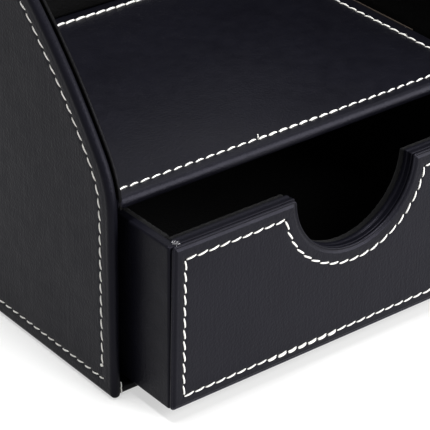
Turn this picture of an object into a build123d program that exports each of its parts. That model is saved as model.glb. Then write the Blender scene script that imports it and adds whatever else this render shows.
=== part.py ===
"""Memo pad holder with one drawer: boards wrapped in leather, in millimetres.

The origin is on the surface that the holder stands on, at the middle of the housing's footprint.
+X is right, +Y is back, +Z is up. The drawer stands partly open.
"""

from math import cos, radians, sin
import os

from build123d import *

# ---------------------------------------------------------------- overall sizes
width = 160.0                # across the two side panels
depth = 123.0                # side panels, front edge to back edge
height = 145.0               # side panels at the back
drawer_open = 21.2           # how far the drawer is pulled out as it stands

# ---------------------------------------------------------------- materials
leather = 0.7                # cover sheet, turned round every board edge
wrap_radius = 1.1            # rounding that the sheet takes over a board edge

# ---------------------------------------------------------------- housing boards
side_board_thickness = 2.2
back_board_thickness = 2.2
shelf_board_thickness = 3.0
base_board_thickness = 1.6
liner_thickness = 1.8        # inner liners above the shelf
support_thickness = 2.6      # inner walls that carry the shelf
felt_thickness = 0.6         # felt sheet under the base
runner_thickness = 0.5       # smooth lining that the drawer slides on

# ---------------------------------------------------------------- housing places
shelf_top = 70.6             # tray floor above the table
shelf_setback = 0.8          # shelf nose behind the front edges of the sides
shelf_nose = 2.1             # rounding of the shelf's front edge
base_setback = 0.7           # base's front edge behind the front edges of the sides
support_setback = 9.0        # support walls behind the front edges of the sides
liner_setback = 0.9          # liners behind the edge of the panel that they line
back_drop = 3.0              # back panel below the top of the sides
felt_margin = 4.0            # felt sheet inside the edge of the base

# ---------------------------------------------------------------- curve of the side panels
lip_start = 5.2              # the curve starts this far below the tray floor
lip_radius = 32.5
lip_turn = 34.0              # degrees
brow_turn = 14.0             # degrees, the long flat arc
crown_radius = 70.0          # last arc, which ends level
crown_turn = 90.0 - lip_turn - brow_turn
rear_corner = 9.0            # rounded top corner at the back

# ---------------------------------------------------------------- drawer
drawer_headroom = 3.8        # between the drawer and the shelf
drawer_side_gap = 0.9        # on each side of the drawer
drawer_rear_gap = 1.0        # behind the drawer when it is shut
drawer_lift = 0.2            # running clearance under the drawer
front_board_thickness = 1.0
box_board_thickness = 1.8
bottom_board_thickness = 1.4
lining_thickness = 2.6       # felt-faced boards on the inner walls
floor_lining_thickness = 1.2
lining_drop = 0.8            # linings below the rim of the box
notch_radius = 24.2          # half-round finger notch in the front
notch_lip = 1.6              # rounding of the notch's two upper corners
lining_notch_gap = 0.5       # the lining's notch is wider than the front's

# ---------------------------------------------------------------- worked-out sizes
side_front = -depth / 2
side_back = depth / 2
side_wall = side_board_thickness + 2 * leather
back_wall = back_board_thickness + 2 * leather
shelf_thickness = shelf_board_thickness + 2 * leather
base_thickness = base_board_thickness + 2 * leather
inner_width = width - 2 * side_wall
tray_width = inner_width - 2 * liner_thickness
back_front = side_back - back_wall
shelf_bottom = shelf_top - shelf_thickness
shelf_front = side_front + shelf_setback
shelf_depth = back_front - shelf_front
base_bottom = felt_thickness
base_top = base_bottom + base_thickness
base_front = side_front + base_setback
base_depth = back_front - base_front
support_front = side_front + support_setback
support_height = shelf_bottom - base_top
cavity_width = inner_width - 2 * support_thickness
cavity_back = back_front - support_thickness
runner_top = base_top + runner_thickness
back_top = height - back_drop

curve_bottom = shelf_top - lip_start
brow_rise = height - curve_bottom - lip_radius * sin(radians(lip_turn)) - crown_radius * (
    1 - cos(radians(crown_turn))
)
brow_radius = brow_rise / (cos(radians(crown_turn)) - cos(radians(crown_turn + brow_turn)))

front_thickness = front_board_thickness + 2 * leather
box_wall = box_board_thickness + 2 * leather
bottom_thickness = bottom_board_thickness + 2 * leather
drawer_width = cavity_width - 2 * drawer_side_gap
drawer_bottom = runner_top + drawer_lift
drawer_top = shelf_bottom - drawer_headroom
drawer_height = drawer_top - drawer_bottom
drawer_front = side_front - drawer_open
drawer_length = cavity_back - drawer_rear_gap - side_front
drawer_rear = drawer_front + drawer_length
box_front = drawer_front + front_thickness
box_length = drawer_length - front_thickness
box_middle = box_front + box_length / 2
bay_width = drawer_width - 2 * box_wall
bay_length = box_length - 2 * box_wall
bottom_top = drawer_bottom + bottom_thickness
lining_top = drawer_top - lining_drop
lining_height = lining_top - bottom_top


def side_outline(inset, bottom, back):
    """Side panel seen from the right: upright front, long curve up to a level top, upright back."""
    corner = rear_corner - inset
    edge = side_front + inset
    with BuildLine() as outline:
        front = Line((edge, bottom), (edge, curve_bottom))
        lip = JernArc(front @ 1, front % 1, lip_radius - inset, -lip_turn)
        brow = JernArc(lip @ 1, lip % 1, brow_radius - inset, -brow_turn)
        crown = JernArc(brow @ 1, brow % 1, crown_radius - inset, -crown_turn)
        top = Line(crown @ 1, (back - corner, height - inset))
        turn = JernArc(top @ 1, top % 1, corner, -90)
        rear = Line(turn @ 1, (back, bottom))
        Line(rear @ 1, front @ 0)
    make_face(outline.edges())


def slab_outline(size_x, front, size_y):
    """Rectangle centred across the holder, from a front line backwards."""
    with Locations((0, front + size_y / 2)):
        Rectangle(size_x, size_y)


def notched_outline(inset, bottom, top, radius, lip):
    """Drawer front with the half-round notch in its top edge, drawn inside its edges by inset."""
    with Locations((0, (bottom + top) / 2)):
        Rectangle(drawer_width - 2 * inset, top - bottom - 2 * inset)
    with Locations((0, drawer_top)):
        Circle(radius + inset, mode=Mode.SUBTRACT)
    if lip > 0:
        rim = vertices().group_by(Axis.Y)[-1].sort_by(Axis.X)
        fillet(rim[1:3], radius=lip)


# ---------------------------------------------------------------- side panels
with BuildPart() as left_side_board:
    with BuildSketch(Plane.YZ.offset(leather - width / 2)):
        side_outline(leather, leather, side_back - leather)
    extrude(amount=side_board_thickness)

with BuildPart() as left_side_cover:
    with BuildSketch(Plane.YZ.offset(-width / 2)):
        side_outline(0, 0, side_back)
    extrude(amount=side_wall)
    rims = edges().filter_by(Axis.X, reverse=True)
    fillet(rims, radius=wrap_radius)
    add(left_side_board.part, mode=Mode.SUBTRACT)

with BuildPart() as right_side_board:
    mirror(left_side_board.part, about=Plane.YZ)

with BuildPart() as right_side_cover:
    mirror(left_side_cover.part, about=Plane.YZ)

# ---------------------------------------------------------------- liners above the shelf
with BuildPart() as left_side_liner:
    with BuildSketch(Plane.YZ.offset(-inner_width / 2)):
        side_outline(liner_setback, base_top, back_front)
    extrude(amount=liner_thickness)
    split(bisect_by=Plane.XY.offset(shelf_top), keep=Keep.TOP)
    tray_face = faces().sort_by(Axis.X)[-1]
    curve = tray_face.edges().filter_by(GeomType.CIRCLE)
    fillet(curve, radius=leather)

with BuildPart() as right_side_liner:
    mirror(left_side_liner.part, about=Plane.YZ)

with BuildPart() as back_liner:
    with BuildSketch(Plane.XY.offset(shelf_top)):
        slab_outline(tray_width, back_front - liner_thickness, liner_thickness)
    extrude(amount=back_top - liner_setback - shelf_top)
    fillet(edges().group_by(Axis.Z)[-1].sort_by(Axis.Y)[0], radius=leather)

# ---------------------------------------------------------------- back panel
with BuildPart() as back_board:
    with BuildSketch(Plane.XY.offset(leather)):
        slab_outline(inner_width - 2 * leather, back_front + leather, back_board_thickness)
    extrude(amount=back_top - 2 * leather)

with BuildPart() as back_cover:
    with BuildSketch(Plane.XY):
        slab_outline(inner_width, back_front, back_wall)
    extrude(amount=back_top)
    fillet(edges().filter_by(Axis.X), radius=wrap_radius)
    add(back_board.part, mode=Mode.SUBTRACT)

# ---------------------------------------------------------------- tray shelf
with BuildPart() as shelf_board:
    with BuildSketch(Plane.XY.offset(shelf_bottom + leather)):
        slab_outline(inner_width - 2 * leather, shelf_front + leather, shelf_depth - 2 * leather)
    extrude(amount=shelf_board_thickness)
    nose = faces().sort_by(Axis.Y)[0].edges().filter_by(Axis.X)
    fillet(nose, radius=shelf_nose - leather)

with BuildPart() as shelf_cover:
    with BuildSketch(Plane.XY.offset(shelf_bottom)):
        slab_outline(inner_width, shelf_front, shelf_depth)
    extrude(amount=shelf_thickness)
    nose = faces().sort_by(Axis.Y)[0].edges().filter_by(Axis.X)
    fillet(nose, radius=shelf_nose)
    add(shelf_board.part, mode=Mode.SUBTRACT)

# ---------------------------------------------------------------- base
with BuildPart() as base_board:
    with BuildSketch(Plane.XY.offset(base_bottom + leather)):
        slab_outline(inner_width - 2 * leather, base_front + leather, base_depth - 2 * leather)
    extrude(amount=base_board_thickness)

with BuildPart() as base_cover:
    with BuildSketch(Plane.XY.offset(base_bottom)):
        slab_outline(inner_width, base_front, base_depth)
    extrude(amount=base_thickness)
    nose = faces().sort_by(Axis.Y)[0].edges().filter_by(Axis.X)
    fillet(nose, radius=wrap_radius)
    add(base_board.part, mode=Mode.SUBTRACT)

with BuildPart() as base_felt:
    with BuildSketch():
        slab_outline(
            inner_width - 2 * felt_margin, base_front + felt_margin, base_depth - 2 * felt_margin
        )
    extrude(amount=felt_thickness)

# ---------------------------------------------------------------- drawer cavity
with BuildPart() as left_support_wall:
    with BuildSketch(Plane.XY.offset(base_top)):
        with Locations(((support_thickness - inner_width) / 2, (support_front + back_front) / 2)):
            Rectangle(support_thickness, back_front - support_front)
    extrude(amount=support_height)

with BuildPart() as right_support_wall:
    mirror(left_support_wall.part, about=Plane.YZ)

with BuildPart() as cavity_back_wall:
    with BuildSketch(Plane.XY.offset(base_top)):
        slab_outline(cavity_width, cavity_back, support_thickness)
    extrude(amount=support_height)

with BuildPart() as runner_lining:
    with BuildSketch(Plane.XY.offset(base_top)):
        slab_outline(cavity_width, support_front, cavity_back - support_front)
    extrude(amount=runner_thickness)

# ---------------------------------------------------------------- drawer front panel
with BuildPart() as drawer_front_board:
    with BuildSketch(Plane.XZ.offset(-drawer_front - leather)):
        notched_outline(leather, drawer_bottom, drawer_top, notch_radius, 0)
    extrude(amount=-front_board_thickness)

with BuildPart() as drawer_front_cover:
    with BuildSketch(Plane.XZ.offset(-drawer_front)):
        notched_outline(0, drawer_bottom, drawer_top, notch_radius, notch_lip)
    extrude(amount=-front_thickness)
    rims = edges().filter_by(Axis.Y, reverse=True)
    fillet(rims, radius=wrap_radius)
    add(drawer_front_board.part, mode=Mode.SUBTRACT)

# ---------------------------------------------------------------- drawer box
with BuildPart() as drawer_inner_front_board:
    with BuildSketch(Plane.XZ.offset(-box_front - leather)):
        notched_outline(leather, drawer_bottom, drawer_top, notch_radius, 0)
    extrude(amount=-box_board_thickness)

with BuildPart() as drawer_rear_board:
    with BuildSketch(Plane.XZ.offset(leather - drawer_rear)):
        with Locations((0, (drawer_bottom + drawer_top) / 2)):
            Rectangle(drawer_width - 2 * leather, drawer_height - 2 * leather)
    extrude(amount=box_board_thickness)

with BuildPart() as drawer_left_board:
    with BuildSketch(Plane.XY.offset(drawer_bottom + leather)):
        with Locations((leather + (box_board_thickness - drawer_width) / 2, box_middle)):
            Rectangle(box_board_thickness, box_length - 2 * (leather + box_board_thickness))
    extrude(amount=drawer_height - 2 * leather)

with BuildPart() as drawer_right_board:
    mirror(drawer_left_board.part, about=Plane.YZ)

with BuildPart() as drawer_box_cover:
    with BuildSketch(Plane.XY.offset(drawer_bottom)):
        slab_outline(drawer_width, box_front, box_length)
        with Locations((0, box_middle)):
            Rectangle(bay_width, bay_length, mode=Mode.SUBTRACT)
    extrude(amount=drawer_height)
    corners = faces().sort_by(Axis.Y)[-1].edges().filter_by(Axis.Z)
    fillet(corners, radius=wrap_radius)
    rim = faces().sort_by(Axis.Z)[-1].edges()
    fillet(rim, radius=wrap_radius)
    with BuildSketch(Plane.XZ.offset(-box_front)):
        with Locations((0, drawer_top)):
            Circle(notch_radius)
    extrude(amount=-box_wall, mode=Mode.SUBTRACT)
    add(drawer_inner_front_board.part, mode=Mode.SUBTRACT)
    add(drawer_rear_board.part, mode=Mode.SUBTRACT)
    add(drawer_left_board.part, mode=Mode.SUBTRACT)
    add(drawer_right_board.part, mode=Mode.SUBTRACT)

with BuildPart() as drawer_bottom_board:
    with BuildSketch(Plane.XY.offset(drawer_bottom + leather)):
        with Locations((0, box_middle)):
            Rectangle(bay_width - 2 * leather, bay_length - 2 * leather)
    extrude(amount=bottom_board_thickness)

with BuildPart() as drawer_bottom_cover:
    with BuildSketch(Plane.XY.offset(drawer_bottom)):
        with Locations((0, box_middle)):
            Rectangle(bay_width, bay_length)
    extrude(amount=bottom_thickness)
    add(drawer_bottom_board.part, mode=Mode.SUBTRACT)

# ---------------------------------------------------------------- drawer linings
with BuildPart() as drawer_front_lining:
    with BuildSketch(Plane.XZ.offset(-box_front - box_wall)):
        with Locations((0, (bottom_top + lining_top) / 2)):
            Rectangle(bay_width, lining_height)
        with Locations((0, drawer_top)):
            Circle(notch_radius + lining_notch_gap, mode=Mode.SUBTRACT)
    extrude(amount=-lining_thickness)

with BuildPart() as drawer_rear_lining:
    with BuildSketch(Plane.XZ.offset(box_wall - drawer_rear)):
        with Locations((0, (bottom_top + lining_top) / 2)):
            Rectangle(bay_width, lining_height)
    extrude(amount=lining_thickness)

with BuildPart() as drawer_left_lining:
    with BuildSketch(Plane.XY.offset(bottom_top)):
        with Locations(((lining_thickness - bay_width) / 2, box_middle)):
            Rectangle(lining_thickness, bay_length - 2 * lining_thickness)
    extrude(amount=lining_height)

with BuildPart() as drawer_right_lining:
    mirror(drawer_left_lining.part, about=Plane.YZ)

with BuildPart() as drawer_floor_lining:
    with BuildSketch(Plane.XY.offset(bottom_top)):
        with Locations((0, box_middle)):
            Rectangle(bay_width - 2 * lining_thickness, bay_length - 2 * lining_thickness)
    extrude(amount=floor_lining_thickness)

# ---------------------------------------------------------------- one file for each piece
pieces = {
    "left_side_board": left_side_board,
    "left_side_cover": left_side_cover,
    "left_side_liner": left_side_liner,
    "right_side_board": right_side_board,
    "right_side_cover": right_side_cover,
    "right_side_liner": right_side_liner,
    "back_board": back_board,
    "back_cover": back_cover,
    "back_liner": back_liner,
    "shelf_board": shelf_board,
    "shelf_cover": shelf_cover,
    "base_board": base_board,
    "base_cover": base_cover,
    "base_felt": base_felt,
    "left_support_wall": left_support_wall,
    "right_support_wall": right_support_wall,
    "cavity_back_wall": cavity_back_wall,
    "runner_lining": runner_lining,
    "drawer_front_board": drawer_front_board,
    "drawer_front_cover": drawer_front_cover,
    "drawer_inner_front_board": drawer_inner_front_board,
    "drawer_left_board": drawer_left_board,
    "drawer_right_board": drawer_right_board,
    "drawer_rear_board": drawer_rear_board,
    "drawer_box_cover": drawer_box_cover,
    "drawer_bottom_board": drawer_bottom_board,
    "drawer_bottom_cover": drawer_bottom_cover,
    "drawer_front_lining": drawer_front_lining,
    "drawer_rear_lining": drawer_rear_lining,
    "drawer_left_lining": drawer_left_lining,
    "drawer_right_lining": drawer_right_lining,
    "drawer_floor_lining": drawer_floor_lining,
}
os.makedirs("parts", exist_ok=True)
for name, piece in pieces.items():
    piece.part.label = name
    export_step(piece.part, f"parts/{name}.step")
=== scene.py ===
"""Finish of a leather-wrapped memo pad holder with one drawer.

Sheets of leather are surfaces on a ring-by-ring grid: one parameter runs round a board's outline,
the other across its rim and over its faces. Stitches are short bars between needle holes.
All lengths are in metres, in the frame's own axes: +X right, +Y back, +Z up.
"""

import bmesh
import bpy
import numpy as np
from mathutils import Matrix, Vector
from mathutils.geometry import delaunay_2d_cdt


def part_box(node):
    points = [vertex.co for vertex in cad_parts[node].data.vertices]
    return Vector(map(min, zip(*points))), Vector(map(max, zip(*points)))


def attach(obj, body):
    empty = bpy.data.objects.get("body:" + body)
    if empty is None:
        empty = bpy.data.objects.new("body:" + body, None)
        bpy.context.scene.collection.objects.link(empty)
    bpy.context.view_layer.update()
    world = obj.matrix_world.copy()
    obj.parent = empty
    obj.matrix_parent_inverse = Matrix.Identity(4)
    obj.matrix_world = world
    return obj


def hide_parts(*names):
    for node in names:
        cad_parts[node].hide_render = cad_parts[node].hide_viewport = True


bl_info = {
    "name": "Memo pad holder",
    "version": (1, 0, 0),
    "blender": (4, 5, 0),
    "location": "3D View > Sidebar > Memo holder",
    "description": "Leather, thread and linings for a desk memo pad holder with a drawer",
    "category": "Object",
}

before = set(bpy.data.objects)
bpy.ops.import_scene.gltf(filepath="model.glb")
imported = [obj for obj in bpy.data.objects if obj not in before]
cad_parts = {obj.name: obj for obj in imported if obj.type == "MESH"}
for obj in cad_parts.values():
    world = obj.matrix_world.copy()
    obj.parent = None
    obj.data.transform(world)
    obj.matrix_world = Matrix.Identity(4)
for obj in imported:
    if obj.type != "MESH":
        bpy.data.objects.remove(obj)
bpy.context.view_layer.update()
MM = 0.001
PI = np.pi


# ------------------------------------------------------------------ sizes and colours
def length(name, description, value, low, high):
    """A length setting; its value and its range are given in millimetres."""
    return bpy.props.FloatProperty(name=name, description=description, default=value * MM,
                                   min=low * MM, max=high * MM, precision=5, unit="LENGTH")


def tone(name, description, value):
    """A colour setting, an sRGB colour in hex."""
    return bpy.props.StringProperty(name=name, description=description, default=value)


class HolderSizes(bpy.types.PropertyGroup):
    """Sizes of the leather work that a maker would change."""

    stitch_length: length("Stitch length", "Distance from one needle hole to the next", 4.2, 2, 8)
    thread_width: length("Thread width", "Width of the thread where it lies on the leather",
                         0.66, 0.3, 2)
    seam_depth: length("Seam depth", "How far a seam is pulled down into the leather", 0.15, 0, 1)
    seam_slant: bpy.props.FloatProperty(
        name="Stitch slant",
        description="Angle of each stitch to its seam",
        default=np.radians(8.5),
        min=0.0,
        max=np.radians(20.0),
        unit="ROTATION",
    )
    grain_size: length("Grain size", "Width of one pebble of the leather's grain", 0.75, 0.2, 3)


class HolderColours(bpy.types.PropertyGroup):
    """Colours of the materials, as sRGB."""

    leather: tone("Leather", "Hex colour of the black coated leather", "#09090E")
    liner: tone("Tray liner", "Hex colour of the thinner leather inside the tray", "#080807")
    thread: tone("Thread", "Hex colour of the sewing thread", "#F0EEE9")
    lining: tone("Lining", "Hex colour of the flocked drawer lining", "#050506")
    floor: tone("Floor", "Hex colour of the table under the holder", "#F7F7F6")


def sizes():
    """The scene's leather-work sizes."""
    return bpy.context.scene.memo_sizes


def linear(text):
    """RGBA in linear light from an sRGB hex colour."""
    srgb = np.array([int(text[i:i + 2], 16) for i in (1, 3, 5)]) / 255
    low = srgb / 12.92
    high = ((srgb + 0.055) / 1.055) ** 2.4
    return (*np.where(srgb <= 0.04045, low, high), 1.0)


# ------------------------------------------------------------------ materials
def add(tree, kind, inputs=None, **settings):
    """One shader node with its settings; an input is a value, or another node's output."""
    node = tree.nodes.new(f"ShaderNode{kind}")
    for key, value in settings.items():
        setattr(node, key, value)
    for key, value in (inputs or {}).items():
        if isinstance(value, bpy.types.NodeSocket):
            tree.links.new(value, node.inputs[key])
        else:
            node.inputs[key].default_value = value
    return node


def maths(tree, operation, *values):
    """The result of one operation on numbers."""
    return add(tree, "Math", dict(enumerate(values)), operation=operation).outputs[0]


def ranged(tree, value, low, high, to_low=0.0, to_high=1.0, ease="LINEAR"):
    """A value carried over from one range to another."""
    inputs = {"Value": value, "From Min": low, "From Max": high, "To Min": to_low,
              "To Max": to_high}
    return add(tree, "MapRange", inputs, interpolation_type=ease).outputs[0]


def noise(tree, where, size, detail, roughness=0.5):
    """Noise whose largest blotches have about the given size."""
    inputs = {"Vector": where, "Scale": 1 / size, "Detail": detail, "Roughness": roughness}
    return add(tree, "TexNoise", inputs).outputs


def blended(tree, share, first, second):
    """A colour between two, by share."""
    return add(tree, "Mix", {0: share, 6: first, 7: second}, data_type="RGBA").outputs[2]


def dimmed(colour, factor):
    """The colour with its light scaled; more than 1 makes it paler."""
    return (*(c * factor for c in colour[:3]), 1.0)


def mottled(tree, where, size, base, gain, detail=3.0):
    """A colour that wanders between a base and a paler shade over patches of the given size."""
    share = ranged(tree, noise(tree, where, size, detail, 0.55)[0], 0.3, 0.7)
    return blended(tree, share, base, dimmed(base, gain))


def bumped(tree, height, strength, distance, below=None):
    """Relief from a height, laid over the relief below it."""
    inputs = {"Strength": strength, "Distance": distance, "Height": height}
    if below:
        inputs["Normal"] = below
    return add(tree, "Bump", inputs).outputs[0]


def blank(name):
    """An empty node material, its tree and a point's own place on its object."""
    made = bpy.data.materials.new(name)
    made.use_nodes = True
    tree = made.node_tree
    tree.nodes.clear()
    return made, tree, add(tree, "TexCoord").outputs["Object"]


def shaded(made, kind, inputs):
    """The material, ended with one shader of that kind."""
    shader = add(made.node_tree, kind, inputs)
    add(made.node_tree, "OutputMaterial", {0: shader.outputs[0]})
    return made


def coated_leather(name, colour, shine=1.0):
    """Polyurethane-coated split leather, embossed: fine shallow pebbles under a satin film.

    The film gives broad soft highlights; the emboss breaks them up, and long faint draw lines
    run where the sheet was stretched over its board.
    """
    made, tree, where = blank(name)
    wobble = noise(tree, where, 1.4 * MM, 2.0)["Color"]
    bent = add(tree, "VectorMath", {0: wobble, 1: (0.45 * MM,) * 3, 2: where},
               operation="MULTIPLY_ADD")
    pebble = add(tree, "TexVoronoi", {"Vector": bent.outputs[0], "Smoothness": 0.35,
                                      "Scale": 1 / sizes().grain_size}, feature="SMOOTH_F1")
    crease = noise(tree, where, 5 * MM, 4.0, 0.6)[0]
    drawn = add(tree, "Mapping", {"Vector": where,
                                  "Scale": (1 / (1.1 * MM), 1 / (1.1 * MM), 1 / (16 * MM))})
    draw = noise(tree, drawn.outputs[0], 1.0, 3.0, 0.6)[0]
    pulls = maths(tree, "ADD", draw, pebble.outputs["Distance"])
    emboss = maths(tree, "MULTIPLY_ADD", crease, 1.2, pulls)
    swell = noise(tree, where, 38 * MM, 1.0)[0]
    return shaded(made, "BsdfPrincipled", {
        "Base Color": mottled(tree, where, 16 * MM, linear(colour), 1.25),
        "Roughness": ranged(tree, crease, 0.3, 0.7, 0.34, 0.44),
        "IOR": 1.3,
        "Specular IOR Level": 0.31 * shine,
        "Specular Tint": (0.82, 0.8, 1.0, 1.0),
        "Normal": bumped(tree, swell, 0.5, 1.2 * MM, bumped(tree, emboss, 0.42, 0.13 * MM)),
    })


def sewing_thread():
    """Bonded polyester thread, twisted from plies: matt, with fine slanting furrows, whose shade is
    painted into the colour.
    """
    made, tree, _ = blank("bonded_polyester_thread")
    along = add(tree, "UVMap", uv_map="thread").outputs[0]
    twist = add(tree, "Mapping", {"Vector": along, "Rotation": (0, 0, 0.7),
                                  "Scale": (6.0, 5.0, 1.0)}).outputs[0]
    ply = add(tree, "TexWave", {"Vector": twist, "Scale": 0.5, "Distortion": 0.6,
                                "Detail": 1.0}, bands_direction="X").outputs[1]
    base = linear(bpy.context.scene.memo_colours.thread)
    return shaded(made, "BsdfPrincipled", {
        # painted shade: the furrows between the plies are darker in the colour, as well as sunk in
        # the relief
        "Base Color": blended(tree, ply, dimmed(base, 0.82), base),
        "Roughness": 0.62,
        "Sheen Weight": 0.25,
        "Normal": bumped(tree, ply, 0.5, 0.08 * MM),
    })


def flock(name, colour, nap):
    """Flocked or felted board: short dense fibres that scatter light, with a clumped nap."""
    made, tree, where = blank(name)
    return shaded(made, "BsdfPrincipled", {
        "Base Color": mottled(tree, where, nap, linear(colour), 1.7, 4.0),
        "Roughness": 0.95,
        "Specular IOR Level": 0.06,
        "Sheen Weight": 0.03,
        "Sheen Roughness": 0.6,
        "Normal": bumped(tree, noise(tree, where, nap, 5.0, 0.7)[0], 0.9, 0.4 * MM),
    })


def board(name, colour):
    """Pressed paper board or paper facing: dry, faintly speckled with fibre."""
    made, tree, where = blank(name)
    return shaded(made, "BsdfPrincipled", {
        "Base Color": mottled(tree, where, 1.5 * MM, linear(colour), 1.3, 5.0),
        "Roughness": 0.85,
        "Normal": bumped(tree, noise(tree, where, 0.8 * MM, 4.0)[0], 0.3, 0.1 * MM),
    })


MATERIALS = {}


def material(name):
    """The named material, made when it is first asked for."""
    if name not in MATERIALS:
        colours = bpy.context.scene.memo_colours
        makers = {
            "leather": lambda: coated_leather("coated_leather", colours.leather),
            # painted shade: the side panels and the drawer's walls get the same leather with less
            # shine, so that they render darker
            "side_leather_painted_shade": lambda: coated_leather("side_leather_painted_shade", colours.leather, 0.6),
            "liner": lambda: coated_leather("liner_leather", colours.liner, 0.5),
            "thread": sewing_thread,
            # painted shade: a near-black colour for the rounds that stand for the dark inside of
            # each needle hole
            "painted_hole_shade": lambda: board("needle_hole_shadow", "#050506"),
            "fray": lambda: board("frayed_fibre", "#A3A2A6"),
            # a brownish colour for the thin strip along the right liner's foot
            "brown_line_strip": lambda: board("brown_line_colour", "#2C221A"),
            "lining": lambda: flock("flocked_lining", colours.lining, 0.9 * MM),
            "felt": lambda: flock("base_felt", "#17171A", 1.6 * MM),
            "greyboard": lambda: board("greyboard", "#8B8578"),
            "black_board": lambda: board("black_faced_board", "#101012"),
        }
        MATERIALS[name] = makers[name]()
    return MATERIALS[name]


# ------------------------------------------------------------------ outlines
def line(start, end, count):
    """Points on a straight run, its end left to the next piece."""
    t = np.linspace(0, 1, count, endpoint=False)[:, None]
    return np.asarray(start) * (1 - t) + np.asarray(end) * t


def arc(centre, radius, first, last, count):
    """Points on a round run between two angles, its end left to the next piece."""
    a = np.linspace(first, last, count, endpoint=False)
    return np.asarray(centre) + radius * np.column_stack([np.cos(a), np.sin(a)])


TURN_COUNT = 7               # samples in a soft corner
STEP = 0.54 * MM             # along a stitched outline: eight samples to a stitch
CORNER = 1.3 * MM            # softness of a wrapped corner at the sheet's outer edge
TIGHT = 0.12 * MM            # softness that is left further in


def turn(start, corner, end):
    """A soft corner: the parabola that leaves and meets its two sides along them."""
    t = np.linspace(0, 1, TURN_COUNT, endpoint=False)[:, None]
    sides = np.asarray(start) * (1 - t) ** 2 + np.asarray(end) * t ** 2
    return sides + 2 * t * (1 - t) * np.asarray(corner)


def samples(reach):
    """How many samples a run of that length gets."""
    return max(2, int(round(reach / STEP)))


def softness(inset, widest=CORNER):
    """Rounding of a corner, smaller as the ring moves in from the edge."""
    return max(widest - inset, TIGHT)


def heading(angle):
    """The unit step in that direction."""
    return np.array([np.cos(angle), np.sin(angle)])


def joined(runs, legs):
    """The whole ring, and for each of its points the seam leg that it belongs to."""
    marks = np.concatenate([np.full(len(run), leg) for run, leg in zip(runs, legs)])
    return np.concatenate(runs), marks


LIP_START = 5.2 * MM         # the side curve starts this far below the tray floor
LIP_RADIUS = 32.5 * MM
LIP_TURN = np.radians(34.0)
LIP_END = PI - LIP_TURN      # where the lip's arc meets the brow's, seen from its centre
BROW_TURN = np.radians(14.0)
BROW_END = LIP_END - BROW_TURN
CROWN_RADIUS = 70.0 * MM
REAR_CORNER = 9.0 * MM


def side_curve():
    """The side curve in (y, z): centres of its lip, brow, crown and rear corner, and the brow's
    radius."""
    low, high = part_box("left_side_cover")
    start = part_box("shelf_cover")[1].z - LIP_START
    rise = high.z - start - LIP_RADIUS * np.sin(LIP_TURN) - CROWN_RADIUS * (1 - np.sin(BROW_END))
    radius = rise / (np.sin(BROW_END) - np.sin(LIP_END))
    lip = np.array([low.y + LIP_RADIUS, start])
    brow = lip + (LIP_RADIUS - radius) * heading(LIP_END)
    crown = brow + (radius - CROWN_RADIUS) * heading(BROW_END)
    return lip, brow, crown, (high.y - REAR_CORNER, high.z - REAR_CORNER), radius


def curve_runs(d, begin, last, count):
    """The side curve moved in by d: lip, brow and crown, the level top and the rear corner.
    begin and last are the angles at which it starts and ends; count samples its last arc."""
    lip, brow, crown, rear, radius = side_curve()
    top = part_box("left_side_cover")[1].z - d
    return [
        arc(lip, LIP_RADIUS - d, begin, LIP_END, samples(LIP_RADIUS * LIP_TURN)),
        arc(brow, radius - d, LIP_END, BROW_END, samples(radius * BROW_TURN)),
        arc(crown, CROWN_RADIUS - d, BROW_END, PI / 2, samples(CROWN_RADIUS * (BROW_END - PI / 2))),
        line((crown[0], top), (rear[0], top), samples(rear[0] - crown[0])),
        arc(rear, REAR_CORNER - d, PI / 2, last, count),
    ]


def side_ring(inset):
    """Side panel's outline in (y, z), moved in by inset: up the front, over the curve, down."""
    low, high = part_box("left_side_cover")
    y0, y1, z0 = low.y + inset, high.y - inset, low.z + inset
    r = softness(inset)
    lip, _, _, rear, _ = side_curve()
    runs = [
        line((y0, z0 + r), (y0, lip[1]), samples(lip[1] - low.z)),
        *curve_runs(inset, PI, 0, samples(REAR_CORNER * PI / 2)),
        line((y1, rear[1]), (y1, z0 + r), samples(rear[1] - low.z)),
        turn((y1, z0 + r), (y1, z0), (y1 - r, z0)),
        line((y1 - r, z0), (y0 + r, z0), samples(high.y - low.y)),
        turn((y0 + r, z0), (y0, z0), (y0, z0 + r)),
    ]
    return joined(runs, [0, 0, 0, 0, 0, 0, 0, -1, 1, -1])


LINER_FOOT = 0.2 * MM        # the side liners stand this far above the shelf's underside
LINER_BACK = 0.9 * MM        # the liner's edge stays this far behind the panel's
LINER_CORNER = 0.8 * MM


def liner_ring(inset):
    """Side liner's outline in (y, z): the side panel's curve, set back, from the shelf up."""
    low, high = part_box("left_side_cover")
    shelf_low, shelf_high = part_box("shelf_cover")
    bottom = shelf_low.z + LINER_FOOT
    y1, foot = shelf_high.y - inset, bottom + inset
    r = softness(inset, LINER_CORNER)
    d = inset + LINER_BACK
    lip, _, _, rear, _ = side_curve()
    begin = PI - np.arcsin((foot + r - lip[1]) / (LIP_RADIUS - d))
    last = np.arccos((y1 - rear[0]) / (REAR_CORNER - d))
    end = (y1, rear[1] + (REAR_CORNER - d) * np.sin(last))
    toe = lip + (LIP_RADIUS - d) * heading(begin)
    runs = [
        *curve_runs(d, begin, last, samples(REAR_CORNER)),
        line(end, (y1, foot + r), samples(high.z - bottom)),
        turn((y1, foot + r), (y1, foot), (y1 - r, foot)),
        line((y1 - r, foot), (toe[0] + r, foot), samples(shelf_high.y - low.y)),
        turn((toe[0] + r, foot), (toe[0], foot), toe),
    ]
    return joined(runs, [-1] * len(runs))


NOTCH_RADIUS = 24.2 * MM
NOTCH_LIP = 1.6 * MM
LOW_SEAM = 0.8               # the drawer's lower seam runs nearer to its edge than the upper one
SIDE_SEAM_SHARE = 0.88       # and so do its two upright ones
NOTCHED_CORNER = 1.6 * MM    # softness of the drawer front's corners
LEAN = 0.95 * MM             # the front's left edge stands this far in at its top


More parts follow.
